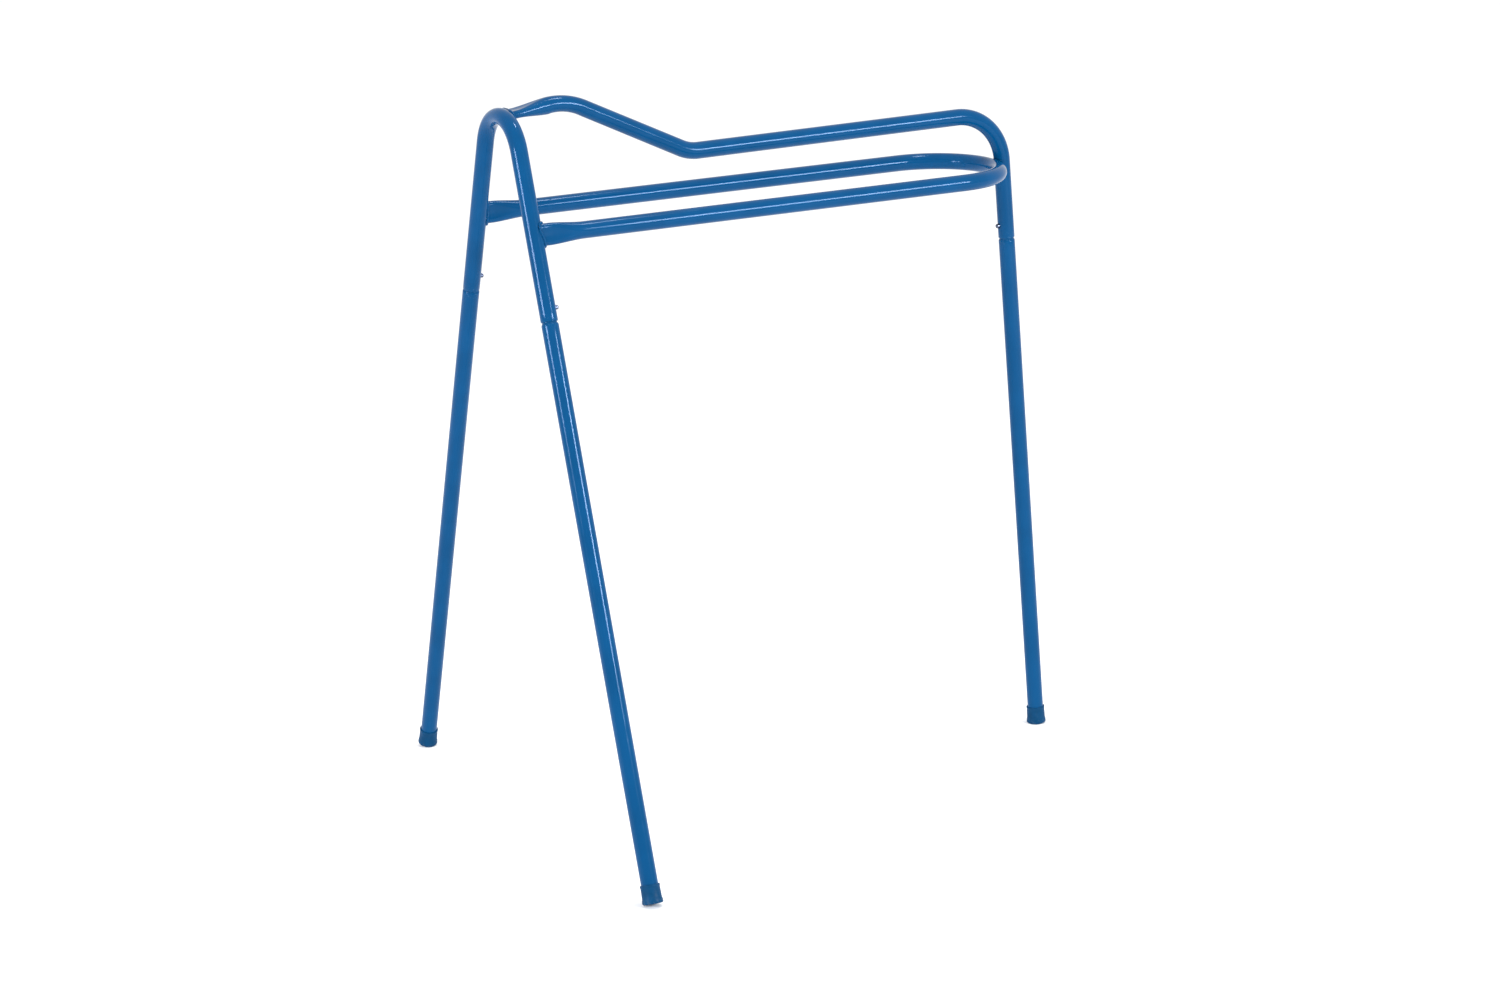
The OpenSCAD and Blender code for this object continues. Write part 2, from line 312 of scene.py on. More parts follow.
def lathe(profile, wear=None, count=LATHE_STEPS):
    """Turned solid round Z from a closed profile of (radius, height), with a wear value per point."""
    bm = bmesh.new()
    layer = bm.verts.layers.float.new("wear")
    made = []
    for i, (r, z) in enumerate(profile):
        steps = count if r > AXIS_R else 1
        row = []
        for k in range(steps):
            a = 2 * math.pi * k / count
            v = bm.verts.new((r * math.cos(a), r * math.sin(a), z))
            v[layer] = wear[i] if wear else 0.0
            row.append(v)
        made.append(row)
    for low, high in zip(made, made[1:] + made[:1]):
        for k in range(count):
            n = (k + 1) % count
            corners = [low[k % len(low)], low[n % len(low)]]
            corners += [high[n % len(high)], high[k % len(high)]]
            kept = list(dict.fromkeys(corners))
            if len(kept) > 2:
                bm.faces.new(kept)
    return bm


def piece(name, bm, material, place=None, sharp=SHARP):
    """An object from a bmesh, smooth apart from its real edges."""
    if place:
        bm.transform(place)
    bmesh.ops.recalc_face_normals(bm, faces=bm.faces)
    mesh = bpy.data.meshes.new(name)
    bm.to_mesh(mesh)
    bm.free()
    mesh.polygons.foreach_set("use_smooth", [True] * len(mesh.polygons))
    mesh.set_sharp_from_angle(angle=math.radians(sharp))
    mesh.materials.append(material)
    obj = bpy.data.objects.new(name, mesh)
    bpy.context.scene.collection.objects.link(obj)
    return obj


def drill(obj, place, radius):
    """Cuts a button's round hole into an object, along +X of a joint's frame."""
    bm = bmesh.new()
    bmesh.ops.create_cone(bm, cap_ends=True, segments=HOLE_STEPS, radius1=radius, radius2=radius,
                          depth=HOLE_CUT)
    spin = Matrix.Rotation(math.pi / 2, 4, "Y")
    bm.transform(place @ Matrix.Translation((HOLE_CUT / 2, 0, BUTTON_UP)) @ spin)
    cutter = piece("cutter", bm, obj.data.materials[0])
    cut = obj.modifiers.new("hole", "BOOLEAN")
    cut.object, cut.operation, cut.solver = cutter, "DIFFERENCE", "EXACT"
    bpy.context.view_layer.update()
    graph = bpy.context.evaluated_depsgraph_get()
    mesh = bpy.data.meshes.new_from_object(obj.evaluated_get(graph))
    obj.modifiers.remove(cut)
    obj.data = mesh
    mesh.set_sharp_from_angle(angle=math.radians(SHARP))
    bpy.data.objects.remove(cutter)


def stand_for(obj, node, body):
    """obj rides on a body in place of a CAD node."""
    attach(obj, body)
    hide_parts(node)


# ---------------------------------------------------------------- materials


# Noise scales are in cycles per metre, and bump depths in metres.
SPREAD = (0.35, 0.65)    # part of a noise's range that is drawn out from none to full
WIDE_SPREAD = (0.3, 0.7)

COAT_COLOUR, COAT_ROUGHNESS, COAT_SPECULAR = (0.001, 0.054, 0.154), 0.12, 0.17
COAT_TINT = (0.5, 0.7, 1.0, 1.0)    # the coat's gloss takes on a little of its blue
COAT_DEEP, COAT_FULL, COAT_WORN = (0.0005, 0.048, 0.137), (0.0010, 0.055, 0.155), (0.025, 0.095, 0.2)
COAT_FILM, COAT_FILM_BUMP = 22.0, 0.03 * MM
COAT_PEEL, COAT_PEEL_BUMP = 480.0, 0.004 * MM
COAT_HAZE, COAT_HAZE_SPREAD, COAT_HAZE_RANGE = 60.0, (0.35, 0.7), (0.09, 0.15)
COAT_RUB, COAT_RUB_SPREAD, COAT_RUB_ROUGHNESS = 420.0, (0.56, 0.7), 0.25

CAP_COLOUR, CAP_ROUGHNESS, CAP_SPECULAR = (0.001, 0.042, 0.111), 0.42, 0.07
CAP_DEEP, CAP_FULL, CAP_WORN = (0.001, 0.038, 0.100), (0.002, 0.046, 0.122), (0.02, 0.06, 0.12)
CAP_TONE, CAP_HAZE, CAP_HAZE_RANGE = 90.0, 250.0, (0.34, 0.55)
CAP_RUB, CAP_RUB_SPREAD = 300.0, (0.5, 0.68)
CAP_GRAIN, CAP_GRAIN_BUMP = 1400.0, 0.02 * MM

ZINC_COLOUR, ZINC_ROUGHNESS = (0.1, 0.11, 0.14), 0.2
ZINC_DEEP, ZINC_BRIGHT = (0.04, 0.05, 0.09), (0.14, 0.16, 0.22)
ZINC_CLOUD, ZINC_HAZE, ZINC_HAZE_RANGE = 700.0, 1500.0, (0.12, 0.26)
ZINC_GRAIN, ZINC_GRAIN_BUMP = 2500.0, 0.01 * MM

LEAF_COLOUR, LEAF_ROUGHNESS, LEAF_ROUGHNESS_RANGE = (0.3, 0.31, 0.34), 0.32, (0.24, 0.42)
LEAF_DARK, LEAF_BRIGHT = (0.22, 0.23, 0.27), (0.4, 0.41, 0.43)
LEAF_MARKS, LEAF_STRETCH, LEAF_MARKS_BUMP = 900.0, (6, 6, 0.15), 0.01 * MM

FLOOR_COLOUR, FLOOR_ROUGHNESS, FLOOR_SPECULAR = (0.94, 0.94, 0.94), 0.9, 0.1
FLOOR_LOW, FLOOR_HIGH, FLOOR_TONE = (0.93, 0.93, 0.93), (0.95, 0.95, 0.95), 1.5


def new_material(name, colour, roughness, metallic=0.0, specular=0.5):
    """A material and its shader, with the shader's own values set."""
    material = bpy.data.materials.new(name)
    material.use_nodes = True
    shader = material.node_tree.nodes["Principled BSDF"]
    shader.inputs["Base Color"].default_value = (*colour, 1)
    shader.inputs["Roughness"].default_value = roughness
    shader.inputs["Metallic"].default_value = metallic
    shader.inputs["Specular IOR Level"].default_value = specular
    return material, shader


def add(material, kind, **inputs):
    """A node with its named inputs set."""
    node = material.node_tree.nodes.new(kind)
    for key, value in inputs.items():
        node.inputs[key.replace("_", " ")].default_value = value
    return node


def link(material, source, target):
    """Joins a node's output to another node's input."""
    material.node_tree.links.new(source, target)


def noise(material, scale, detail=3.0, stretch=(1, 1, 1)):
    """A noise in the object's own coordinates."""
    place = add(material, "ShaderNodeTexCoord")
    mapping = add(material, "ShaderNodeMapping", Scale=stretch)
    texture = add(material, "ShaderNodeTexNoise", Scale=scale, Detail=detail)
    link(material, place.outputs["Object"], mapping.inputs["Vector"])
    link(material, mapping.outputs["Vector"], texture.inputs["Vector"])
    return texture.outputs["Fac"]


def ramp(material, source, spread, result=(0.0, 1.0)):
    """Maps a value from the ends of spread to the ends of result, and holds it beyond them."""
    node = add(material, "ShaderNodeMapRange")
    for key, value in zip(("From Min", "From Max", "To Min", "To Max"), (*spread, *result)):
        node.inputs[key].default_value = value
    link(material, source, node.inputs["Value"])
    return node.outputs["Result"]


def times(material, a, b):
    """The product of two values."""
    node = add(material, "ShaderNodeMath")
    node.operation = "MULTIPLY"
    link(material, a, node.inputs[0])
    link(material, b, node.inputs[1])
    return node.outputs[0]


def blend_colour(material, share, first, second):
    """Colour from first to second by a share. Either may be a colour or a node's output."""
    node = add(material, "ShaderNodeMix")
    node.data_type = "RGBA"
    link(material, share, node.inputs["Factor"])
    for key, value in (("A", first), ("B", second)):
        socket = next(s for s in node.inputs if s.name == key and s.type == "RGBA")
        if isinstance(value, bpy.types.NodeSocket):
            link(material, value, socket)
        else:
            socket.default_value = (*value, 1)
    return next(s for s in node.outputs if s.type == "RGBA")


def bump(material, shader, heights):
    """Stacked bumps, each a height output and its depth."""
    normal = None
    for height, depth in heights:
        node = add(material, "ShaderNodeBump", Strength=1.0, Distance=depth)
        link(material, height, node.inputs["Height"])
        if normal:
            link(material, normal, node.inputs["Normal"])
        normal = node.outputs["Normal"]
    link(material, normal, shader.inputs["Normal"])


def wear_share(material, scale, spread):
    """Where the mesh is marked as worn, broken up by noise."""
    mark = add(material, "ShaderNodeAttribute")
    mark.attribute_name = "wear"
    patches = ramp(material, noise(material, scale, detail=5.0), spread)
    return times(material, mark.outputs["Fac"], patches)


def powder_coat():
    """Gloss powder coat: faint orange peel, uneven film, and a few rubbed edges."""
    material, shader = new_material("powder_coat", COAT_COLOUR, COAT_ROUGHNESS, specular=COAT_SPECULAR)
    shader.inputs["Specular Tint"].default_value = COAT_TINT
    film = noise(material, COAT_FILM)
    coat = blend_colour(material, ramp(material, film, SPREAD), COAT_DEEP, COAT_FULL)
    worn = wear_share(material, COAT_RUB, COAT_RUB_SPREAD)
    link(material, blend_colour(material, worn, coat, COAT_WORN), shader.inputs["Base Color"])
    haze = ramp(material, noise(material, COAT_HAZE, detail=4.0), COAT_HAZE_SPREAD, COAT_HAZE_RANGE)
    rub = add(material, "ShaderNodeMath")
    rub.operation = "MULTIPLY_ADD"
    rub.inputs[1].default_value = COAT_RUB_ROUGHNESS
    link(material, worn, rub.inputs[0])
    link(material, haze, rub.inputs[2])
    link(material, rub.outputs[0], shader.inputs["Roughness"])
    peel = noise(material, COAT_PEEL, detail=2.0)
    bump(material, shader, [(peel, COAT_PEEL_BUMP), (film, COAT_FILM_BUMP)])
    return material


def cap_plastic():
    """Moulded plastic cap: fine grain, scuffed and dusty at its base."""
    material, shader = new_material("foot_cap", CAP_COLOUR, CAP_ROUGHNESS, specular=CAP_SPECULAR)
    tone = ramp(material, noise(material, CAP_TONE), SPREAD)
    plain = blend_colour(material, tone, CAP_DEEP, CAP_FULL)
    worn = wear_share(material, CAP_RUB, CAP_RUB_SPREAD)
    link(material, blend_colour(material, worn, plain, CAP_WORN), shader.inputs["Base Color"])
    haze = ramp(material, noise(material, CAP_HAZE, detail=4.0), WIDE_SPREAD, CAP_HAZE_RANGE)
    link(material, haze, shader.inputs["Roughness"])
    bump(material, shader, [(noise(material, CAP_GRAIN, detail=2.0), CAP_GRAIN_BUMP)])
    return material


def zinc():
    """Dark plated steel: glossy, faintly clouded."""
    material, shader = new_material("button", ZINC_COLOUR, ZINC_ROUGHNESS, metallic=1.0)
    cloud = ramp(material, noise(material, ZINC_CLOUD, detail=4.0), SPREAD)
    plated = blend_colour(material, cloud, ZINC_DEEP, ZINC_BRIGHT)
    link(material, plated, shader.inputs["Base Color"])
    haze = ramp(material, noise(material, ZINC_HAZE), WIDE_SPREAD, ZINC_HAZE_RANGE)
    link(material, haze, shader.inputs["Roughness"])
    bump(material, shader, [(noise(material, ZINC_GRAIN, detail=2.0), ZINC_GRAIN_BUMP)])
    return material


def spring_steel():
    """Bare spring strip with lengthwise rolling marks."""
    material, shader = new_material("spring", LEAF_COLOUR, LEAF_ROUGHNESS, metallic=1.0)
    marks = noise(material, LEAF_MARKS, stretch=LEAF_STRETCH)
    strip = blend_colour(material, ramp(material, marks, WIDE_SPREAD), LEAF_DARK, LEAF_BRIGHT)
    link(material, strip, shader.inputs["Base Color"])
    haze = ramp(material, marks, WIDE_SPREAD, LEAF_ROUGHNESS_RANGE)
    link(material, haze, shader.inputs["Roughness"])
    bump(material, shader, [(marks, LEAF_MARKS_BUMP)])
    return material


def floor_paint():
    """Pale matt studio floor."""
    material, shader = new_material("floor", FLOOR_COLOUR, FLOOR_ROUGHNESS, specular=FLOOR_SPECULAR)
    tone = ramp(material, noise(material, FLOOR_TONE), WIDE_SPREAD)
    link(material, blend_colour(material, tone, FLOOR_LOW, FLOOR_HIGH), shader.inputs["Base Color"])
    return material


COAT = powder_coat()
CAP = cap_plastic()
ZINC = zinc()
SPRING = spring_steel()


# ---------------------------------------------------------------- head tubes


def open_end(point, heading, across, sign):
    """Rings of a cut tube end with a rounded outer edge. sign is -1 at a path's start, 1 at its end."""
    rings = []
    for k in range(END_RINGS):
        a = math.pi / 2 * k / (END_RINGS - 1)
        inset = END_EDGE * (1 - math.cos(a))
        along = END_EDGE * (math.sin(a) - 1)
        outline = slot_outline(2 * (TUBE_R - inset), 2 * (TUBE_R - inset))
        rings.append(ring(point + heading * sign * along, heading, across, outline))
    return rings if sign > 0 else rings[::-1]


def socket_run(end, heading):
    """Stations on the last stretch of a socket, close together round the button's hole."""
    zone = (HOLE_FAR, HOLE_NEAR, -HOLE_NEAR, -HOLE_FAR)
    return [(end - heading * (BUTTON_UP + up), heading) for up in zone]


def crown_outline(point):
    """The arch's round section, pressed a little flatter over the crown."""
    rise = max(0.0, (point.z - CROWN_Z) / CROWN_R)
    press = CROWN_PRESS * rise * rise
    bulge = press * CROWN_BULGE
    return [(u * (1 - press), v * (1 + bulge)) for u, v in slot_outline(2 * TUBE_R, 2 * TUBE_R)]


def build_arch():
    """The front arch, with a button's hole in each socket."""
    ends = [Vector((FRONT_X, side * ARCH_HALF, JOINT_H)) for side in (LEFT, RIGHT)]
    stations = rounded([ends[0], Vector((FRONT_X, 0, ARCH_PEAK)), ends[1]], [CROWN_R])
    up, down = stations[0][1], stations[-1][1]
    near = [(p, up) for p, _ in reversed(socket_run(ends[0], -up))]
    stations = near + stations[1:-1] + socket_run(ends[1], down)
    outer = open_end(ends[0], up, X, -1)
    outer += [ring(p, t, X, crown_outline(p)) for p, t in stations]
    outer += open_end(ends[1], down, X, 1)
    bore = slot_outline(2 * BORE_R, 2 * BORE_R)
    inner = [ring(p, t, X, bore) for p, t in [(ends[0], up)] + stations + [(ends[1], down)]]
    worn = [1.0] * END_RINGS
    wear = worn + [0.0] * len(stations) + worn + [0.0] * len(inner)
    arch = piece("front_arch_skin", loft(outer + inner[::-1], wear=wear), COAT)
    for side in (LEFT, RIGHT):
        drill(arch, joint_place(side), BUTTON_R + HEAD_HOLE_GAP)
    stand_for(arch, "front_arch", "head")


def flat_rings(start, way, across, shrink):
    """Rings of a pressed tube end, from its face on the arch to the round tube.

    shrink is how much smaller the rings are than the tube's outside.
    """
    rings = []
    spots = [0.0, FLAT_LEN / 2, FLAT_LEN]
    spots += [FLAT_LEN + FLARE_LEN * (k + 1) / FLARE_STEPS for k in range(FLARE_STEPS)]
    for s in spots:
        t = min(1.0, max(0.0, (s - FLAT_LEN) / FLARE_LEN))
        ease = FLARE_EVEN * t + (1 - FLARE_EVEN) * t * t * (3 - 2 * t)
        width = FLAT_W + (2 * TUBE_R - FLAT_W) * ease - shrink
        thick = FLAT_T + (2 * TUBE_R - FLAT_T) * ease - shrink
        outline = slot_outline(width, thick, sink=FLAT_SINK * (1 - t) ** 2)
        points = ring(start + way * s, way, across, outline)
        if s == 0.0:
            points = [onto_arch(p, way) for p in points]
        rings.append(points)
    return rings


def hump_outline(point, heading):
    """The rail's round section, pressed in on the inner side of the hump's bend."""
    near = max(0.0, 1 - (point - HUMP).length / HUMP_REACH)
    press = 1 - HUMP_PRESS * near * (2 - near)
    lower = 1 if Y.cross(heading).z < 0 else -1
    outline = slot_outline(2 * TUBE_R, 2 * TUBE_R)
    return [(u * (press if u * lower > 0 else 1), v) for u, v in outline]


def build_rail():
    """The top rail, from its pressed end on the crown to the rear socket and its button's hole."""
    crown = Vector((FRONT_X, 0, CROWN_H))
    way = (HUMP - crown).normalized()
    face = crown + way * TUBE_R
    start = face + way * (FLAT_LEN + FLARE_LEN)
    top = Vector((post_x(REAR_H), 0, REAR_H))
    foot = Vector((post_x(REAR_JOINT_H), 0, REAR_JOINT_H))
    stations = rounded([start, HUMP, DIP, top, foot], [HUMP_R, DIP_R, REAR_R])
    down = stations[-1][1]
    stations = stations[1:-1] + socket_run(foot, down)
    bore = slot_outline(2 * BORE_R, 2 * BORE_R)
    outer = flat_rings(face, way, Y, 0.0)
    outer += [ring(p, t, Y, hump_outline(p, t)) for p, t in stations]
    outer += open_end(foot, down, Y, 1)
    inner = flat_rings(face, way, Y, 2 * WALL)
    inner += [ring(p, t, Y, bore) for p, t in stations + [(foot, down)]]
    wear = [0.0] * (len(outer) - END_RINGS) + [1.0] * END_RINGS + [0.0] * len(inner)
    rail = piece("top_rail_skin", loft(outer + inner[::-1], wear=wear), COAT)
    drill(rail, joint_place(REAR), BUTTON_R + HEAD_HOLE_GAP)
    stand_for(rail, "top_rail", "head")


def clear_of_post(point, radius):
    """Moves a point that lies inside the rear post forward onto a radius round the post's axis."""
    centre = post_x(point.z)
    reach = radius ** 2 - point.y ** 2
    if reach <= 0:
        return point
    face = centre - math.sqrt(reach)
    return Vector((face, point.y, point.z)) if point.x > face else point


def loop_apex():
    """Where the centreline of the side loop crosses the stand's middle."""
    return post_x(LOOP_H) - 2 * TUBE_R + LOOP_BITE


def build_loop():
    """The side loop, pressed flat at both front ends and notched round the rear post."""
    apex = loop_apex()
    faces = [Vector((FRONT_X + TUBE_R, side * LOOP_R, LOOP_H)) for side in (LEFT, RIGHT)]
    starts = [f + X * (FLAT_LEN + FLARE_LEN) for f in faces]
    turns = [Vector((apex, side * LOOP_R, LOOP_H)) for side in (LEFT, RIGHT)]
    radii = [LOOP_R, LOOP_R - LOOP_SPLIT]
    stations = rounded([starts[0], *turns, starts[1]], radii, LOOP_STEP)[1:-1]
    skins = []
    for radius, shrink in ((TUBE_R, 0.0), (BORE_R, 2 * WALL)):
        outline = slot_outline(2 * radius, 2 * radius)
        end = flat_rings(faces[0], X, Z, shrink)
        rings = end + [ring(p, t, Z, outline) for p, t in stations]
        rings += [[Vector((p.x, -p.y, p.z)) for p in r] for r in reversed(end)]
        skins.append([[clear_of_post(p, TUBE_R + shrink / 2) for p in r] for r in rings])
    loop = piece("side_loop_skin", loft(skins[0] + skins[1][::-1]), COAT)
    stand_for(loop, "side_loop", "head")


# ---------------------------------------------------------------- welds


def bead(name, path, outward, radius, node):
    """A closed weld bead with soft ripples. outward is the way out of the joint at each point."""
    count = len(path)
    length = sum((path[(k + 1) % count] - path[k]).length for k in range(count))
    ripples = round(length / BEAD_PITCH)
    rings = []
    for k, point in enumerate(path):
        along = (path[(k + 1) % count] - path[k - 1]).normalized()
        out = (outward[k] - along * outward[k].dot(along)).normalized()
        side = along.cross(out)
        wave = BEAD_RIPPLE * abs(math.sin(math.pi * ripples * k / count))
        size = radius[k] - BEAD_RIPPLE / 2 + wave + random.uniform(-BEAD_JITTER, BEAD_JITTER)
        turns = [2 * math.pi * n / BEAD_ROUND for n in range(BEAD_ROUND)]
        rings.append([point + (out * math.cos(a) + side * math.sin(a)) * size for a in turns])
    obj = piece(name, loft(rings, wear=[BEAD_WEAR] * count), COAT, sharp=BEAD_SHARP)
    stand_for(obj, node, "head")


def end_weld(name, node, start, way, across):
    """Bead round a pressed end where it stands on the arch."""
    wide, thick = FLAT_W + 2 * BEAD_OUT, FLAT_T + 2 * BEAD_OUT
    path, outward, radius = [], [], []
    for point in ring(start, way, across, slot_outline(wide, thick, END_BEAD_STEPS)):
        spot = onto_arch(point, way)
        off = abs(from_arch_line(spot.y, spot.z))
        slack = max(0.0, min(1.0, (TUBE_R - off) / BEAD_FADE))
        path.append(spot + way * BEAD_LIFT)
        centre = start + way * (point - start).dot(way)
        outward.append(((point - centre).normalized() + way).normalized())
        radius.append(BEAD_R * (BEAD_THIN + (1 - BEAD_THIN) * slack))
    bead(name, path, outward, radius, node)


def rear_weld():
    """Bead round the oval where the loop's apex meets the rear post."""
    half = math.sqrt(TUBE_R ** 2 - (TUBE_R - LOOP_BITE / 2) ** 2) * REAR_BEAD_WIDE
    path, outward, radius = [], [], []
    for k in range(REAR_BEAD_STEPS):
        a = 2 * math.pi * k / REAR_BEAD_STEPS
        y, z = half * math.cos(a), half * math.sin(a)
        loop_edge = LOOP_R + math.sqrt(TUBE_R ** 2 - z * z)
        loop_face = loop_apex() - LOOP_R + math.sqrt(loop_edge ** 2 - y * y)
        post_face = post_x(LOOP_H + z) - math.sqrt(TUBE_R ** 2 - y * y)
        path.append(Vector(((loop_face + post_face) / 2, y, LOOP_H + z)))
        outward.append(Vector((0, math.cos(a), math.sin(a))))
        radius.append(REAR_BEAD_R)
    bead("weld_rear_bead", path, outward, radius, "weld_rear")


def build_welds():
    """The four beads of the head."""
    crown = Vector((FRONT_X, 0, CROWN_H))
    way = (HUMP - crown).normalized()
    end_weld("weld_crown_bead", "weld_crown", crown + way * TUBE_R, way, Y)
    for word in ("left", "right"):
        face = Vector((FRONT_X + TUBE_R, SIDES[word] * LOOP_R, LOOP_H))
        end_weld(f"weld_{word}_bead", f"weld_{word}", face, X, Z)
    rear_weld()


# ---------------------------------------------------------------- legs


def leg_profile(side):
    """Outline of a leg, up its outside and down its bore, with a wear value per point."""
    foot = CAP_FLOOR - leg_reach(side)
    cone_low = -NECK_GAP - NECK_CONE
    outside = [(TUBE_R - LEG_EDGE, foot, 0.0), (TUBE_R, foot + LEG_EDGE, 0.0)]
    outside += [(TUBE_R + out * MM, cone_low + up * MM, wear) for out, up, wear in NECK_LOW]
    outside += [(SPIGOT_R + out * MM, -NECK_GAP + up * MM, wear) for out, up, wear in NECK_HIGH]
    ups = [BUTTON_UP + up for up in (-HOLE_FAR, -HOLE_NEAR, HOLE_NEAR, HOLE_FAR)]
    outside += [(SPIGOT_R, up, SPIGOT_WEAR) for up in [SPIGOT_FOOT, *ups]]
    outside += [(SPIGOT_R, SPIGOT_LEN - SPIGOT_EDGE, SPIGOT_END_WEAR)]
    outside += [(SPIGOT_R - SPIGOT_EDGE / 2, SPIGOT_LEN, SPIGOT_END_WEAR)]
    inside = [(SPIGOT_BORE_R, SPIGOT_LEN, SPIGOT_RIM_WEAR)]
    inside += [(SPIGOT_BORE_R, BUTTON_UP + HOLE_NEAR, 0.0), (SPIGOT_BORE_R, BUTTON_UP - HOLE_NEAR, 0.0)]
    inside += [(SPIGOT_BORE_R, cone_low - WALL + NECK_CONE, 0.0)]
    inside += [(BORE_R, cone_low - WALL, 0.0), (BORE_R, foot, 0.0)]
    return outside + inside


def build_legs():
    """The three legs, each with its button's hole."""
    for word, side in SIDES.items():
        profile = leg_profile(side)
        bm = lathe([p[:2] for p in profile], [p[2] for p in profile])
        leg = piece(f"leg_{word}_tube", bm, COAT, joint_place(side), sharp=LEG_SHARP)
        drill(leg, joint_place(side), BUTTON_R + LEG_HOLE_GAP)
        stand_for(leg, f"leg_{word}", f"leg_{word}")


def arc(centre, radius, first, last, steps):
    """Points on an arc in a lathe profile, angles in degrees from the outward direction."""
    turn = [math.radians(first + (last - first) * k / steps) for k in range(steps + 1)]
    return [(centre[0] + radius * math.cos(a), centre[1] + radius * math.sin(a)) for a in turn]


def cap_profile():
    """Outline of a cap: dished sole, flared skirt, rolled lip, and the socket for the tube."""
    sole = CAP_BASE_R - CAP_ROUND
    lip = CAP_R - CAP_LIP
    outside = [(0, CAP_DISH), (sole - CAP_RING_IN, CAP_DISH), (sole - CAP_RING_OUT, 0)]
    outside += arc((sole, CAP_ROUND), CAP_ROUND, -90, 0, CAP_ROUND_STEPS)
    outside += [(CAP_BASE_R - CAP_DRAFT, CAP_SKIRT_LOW), (CAP_R - CAP_DRAFT, CAP_SKIRT_HIGH)]
    outside += [(CAP_R - CAP_WAIST, CAP_LEN - CAP_WAIST_DROP)]
    low, high = CAP_LEN - CAP_LIP - CAP_LIP_DROP, CAP_LEN - CAP_LIP
    outside += arc((lip, low), CAP_LIP, CAP_LIP_START, 0, LIP_LOW_STEPS)
    outside += arc((lip, high), CAP_LIP, 0, 90, LIP_HIGH_STEPS)
    fit = TUBE_R + CAP_FIT
    inside = [(fit, CAP_LEN), (fit, CAP_FLOOR), (0, CAP_FLOOR)]
    return outside + inside


def build_caps():
    """The three foot caps, scuffed at the base."""
    profile = cap_profile()
    scuffed = [z < CAP_SCUFF_H and r > CAP_SCUFF_R for r, z in profile]
    wear = [CAP_SCUFF if s else CAP_HANDLED for s in scuffed]
    for word, side in SIDES.items():
        place = joint_place(side) @ Matrix.Translation((0, 0, -leg_reach(side)))
        cap = piece(f"foot_cap_{word}_moulding", lathe(profile, wear), CAP, place, sharp=CAP_SHARP)
        stand_for(cap, f"foot_cap_{word}", f"leg_{word}")


def button_profile():
    """Outline of a button along its axis: rivet under the leaf, stem, flange and domed plunger."""
    tip = TUBE_R + BUTTON_OUT
    rivet = LEAF_X - LEAF_T / 2 - RIVET_OUT
    under = FLANGE_X - FLANGE_T
    profile = [(0, rivet), (RIVET_EDGE_R, rivet), (RIVET_R, rivet + RIVET_EDGE)]
    profile += [(RIVET_R, under), (FLANGE_R - FLANGE_EDGE, under)]
    profile += [(FLANGE_R, under + FLANGE_EDGE), (FLANGE_R, FLANGE_X - FLANGE_EDGE)]
    profile += [(FLANGE_R - FLANGE_EDGE, FLANGE_X), (BUTTON_R, FLANGE_X)]
    edge = (BUTTON_R - BUTTON_EDGE, tip - BUTTON_EDGE)
    profile += arc(edge, BUTTON_EDGE, 0, BUTTON_EDGE_TURN, BUTTON_EDGE_STEPS)
    profile += [(BUTTON_TIP_R, tip - BUTTON_TIP_DROP), (0, tip)]
    return profile


def build_buttons():
    """The three snap buttons, each across its leg's axis."""
    turn = Matrix.Rotation(math.pi / 2, 4, "Y")
    for word, side in SIDES.items():
        place = joint_place(side) @ Matrix.Translation((0, 0, BUTTON_UP)) @ turn
        plunger = lathe(button_profile(), count=HOLE_STEPS)
        button = piece(f"button_{word}_plunger", plunger, ZINC, place)
        stand_for(button, f"button_{word}", f"button_{word}")


def strip_rings(stations, place):
    """Rings of the spring's strip, with its long edges rounded off."""
    half_t, half_w = LEAF_T / 2, LEAF_W / 2
    outline = []
    for u, v in ((1, -1), (1, 1), (-1, 1), (-1, -1)):
        first = (u * half_t, v * (half_w - LEAF_EDGE))
        second = (u * (half_t - LEAF_EDGE), v * half_w)
        outline += [first, second] if u * v > 0 else [second, first]
    return [[place @ p for p in ring(point, heading, Y, outline)] for point, heading in stations]


def strip(rings):
    """Skin along a strip, closed at both ends."""
    bm = loft(rings, wrap=False)
    verts, count = list(bm.verts), len(rings[0])
    bm.faces.new(verts[:count])
    bm.faces.new(verts[-count:])
    return bm


def build_springs():
    """The three V-shaped springs. The back leaf rides on its leg; the front leaf, between its leg and
    its button, stays fixed where it is built.
    """
    tip = BUTTON_UP + LEAF_OVER
    corners = [Vector((LEAF_X, 0, tip)), Vector((LEAF_X, 0, tip - LEAF_DEPTH))]
    corners.append(Vector((LEAF_BACK_X, 0, tip)))
    path = rounded(corners, [LEAF_R], LEAF_STEP)
    front = [path[0], *[(corners[0] - Z * down, -Z) for down in LEAF_STOPS], path[1]]
    for word, side in SIDES.items():
        place = joint_place(side)
        for part, stations in (("front", front), ("back", path[1:])):
            leaf = piece(f"spring_{word}_{part}_leaf", strip(strip_rings(stations, place)), SPRING)
            if part == "front":
                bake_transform(leaf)
            else:
                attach(leaf, f"leg_{word}")
            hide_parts(f"spring_{word}")


# ---------------------------------------------------------------- stage, light and camera


FLOOR_SIZE = 60.0
FLOOR_CELLS = 4
SKY_COLOUR, SKY_STRENGTH = (1, 1, 1, 1), 1.07

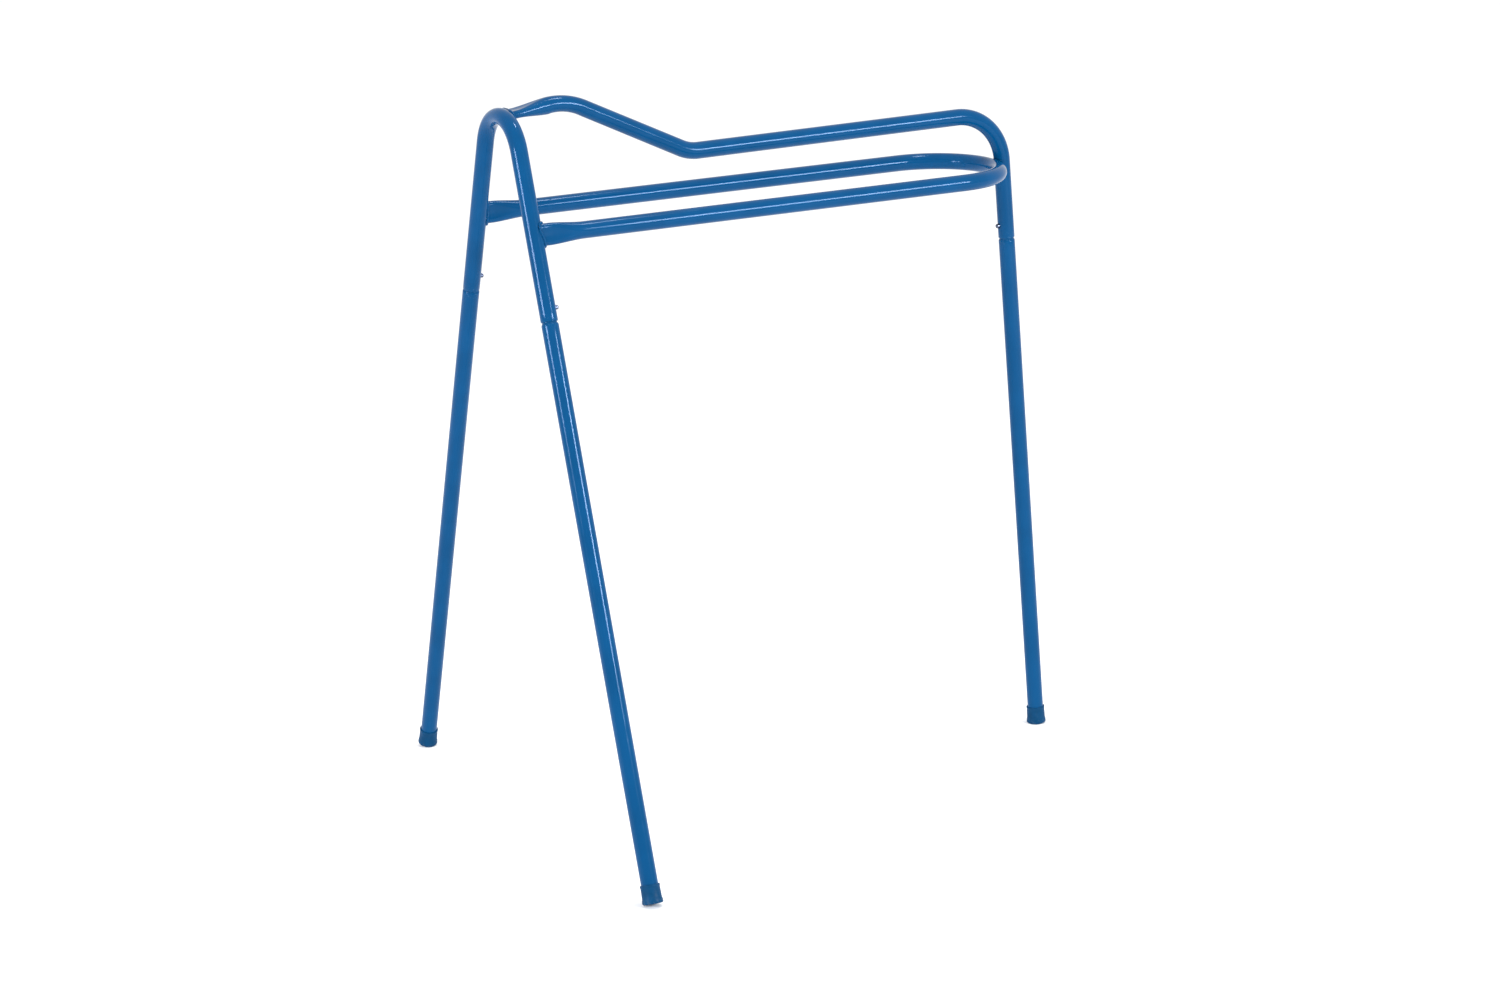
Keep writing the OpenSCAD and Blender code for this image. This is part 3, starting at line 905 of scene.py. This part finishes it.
# Name, place, aimed at, size, watts and colour
MIDDLE = (0, 0, 0.75)
HEAD_FRONT = (-0.3, 0, 0.9)
LIGHTS = (
    ("light_main", (2.15, -4.3, 2.15), MIDDLE, (1.3, 0.9), 200, (0.9, 0.95, 1.0)),
    ("light_left", (-4.4, -0.75, 1.55), MIDDLE, (1.3, 0.9), 135, (0.9, 0.92, 1.0)),
    ("light_above", (0.7, -0.05, 3.5), HEAD_FRONT, (0.5, 0.5), 25, (0.92, 0.95, 1.0)),
)

CAMERA_SPOT = (-2.22162, -4.32472, 1.68522)
CAMERA_RIGHT = Vector((0.890052, -0.454949, -0.028809))
CAMERA_UP = Vector((0.142797, 0.218233, 0.965393))
CAMERA_LENS, CAMERA_SENSOR = 90.8, 36    # mm
CAMERA_NEAR, CAMERA_FAR = 0.1, 100


def build_floor():
    """A wide pale floor under the stand."""
    bm = bmesh.new()
    bmesh.ops.create_grid(bm, x_segments=FLOOR_CELLS, y_segments=FLOOR_CELLS, size=FLOOR_SIZE / 2)
    floor = piece("floor", bm, floor_paint())


def soft_light(name, spot, target, size, power, tint):
    """A rectangular soft light that faces a target and that the camera doesn't see."""
    data = bpy.data.lights.new(name, "AREA")
    data.shape, data.size, data.size_y = "RECTANGLE", size[0], size[1]
    data.energy, data.color = power, tint
    lamp = bpy.data.objects.new(name, data)
    lamp.location = spot
    lamp.rotation_mode = "QUATERNION"
    lamp.rotation_quaternion = (Vector(target) - Vector(spot)).to_track_quat("-Z", "Y")
    lamp.visible_camera = False
    bpy.context.scene.collection.objects.link(lamp)


def build_lights():
    """A pale room, a main light that draws the long highlights, one from the left and one above."""
    for light in LIGHTS:
        soft_light(*light)
    world = bpy.data.worlds.new("studio")
    world.use_nodes = True
    sky = world.node_tree.nodes["Background"]
    sky.inputs["Color"].default_value = SKY_COLOUR
    sky.inputs["Strength"].default_value = SKY_STRENGTH
    bpy.context.scene.world = world


def build_camera():
    """The camera of the main view."""
    back = CAMERA_RIGHT.cross(CAMERA_UP)
    data = bpy.data.cameras.new("camera")
    data.lens, data.sensor_width = CAMERA_LENS, CAMERA_SENSOR
    data.clip_start, data.clip_end = CAMERA_NEAR, CAMERA_FAR
    camera = bpy.data.objects.new("camera", data)
    turn = Matrix((CAMERA_RIGHT, CAMERA_UP, back)).transposed().to_4x4()
    camera.matrix_world = Matrix.Translation(CAMERA_SPOT) @ turn
    bpy.context.scene.collection.objects.link(camera)
    bpy.context.scene.camera = camera


SEED = 7    # of the weld beads' jitter
random.seed(SEED)
build_arch()
build_rail()
build_loop()
build_welds()
build_legs()
build_caps()
build_buttons()
build_springs()
build_floor()
build_lights()
build_camera()
bpy.context.scene.view_settings.view_transform = "Standard"
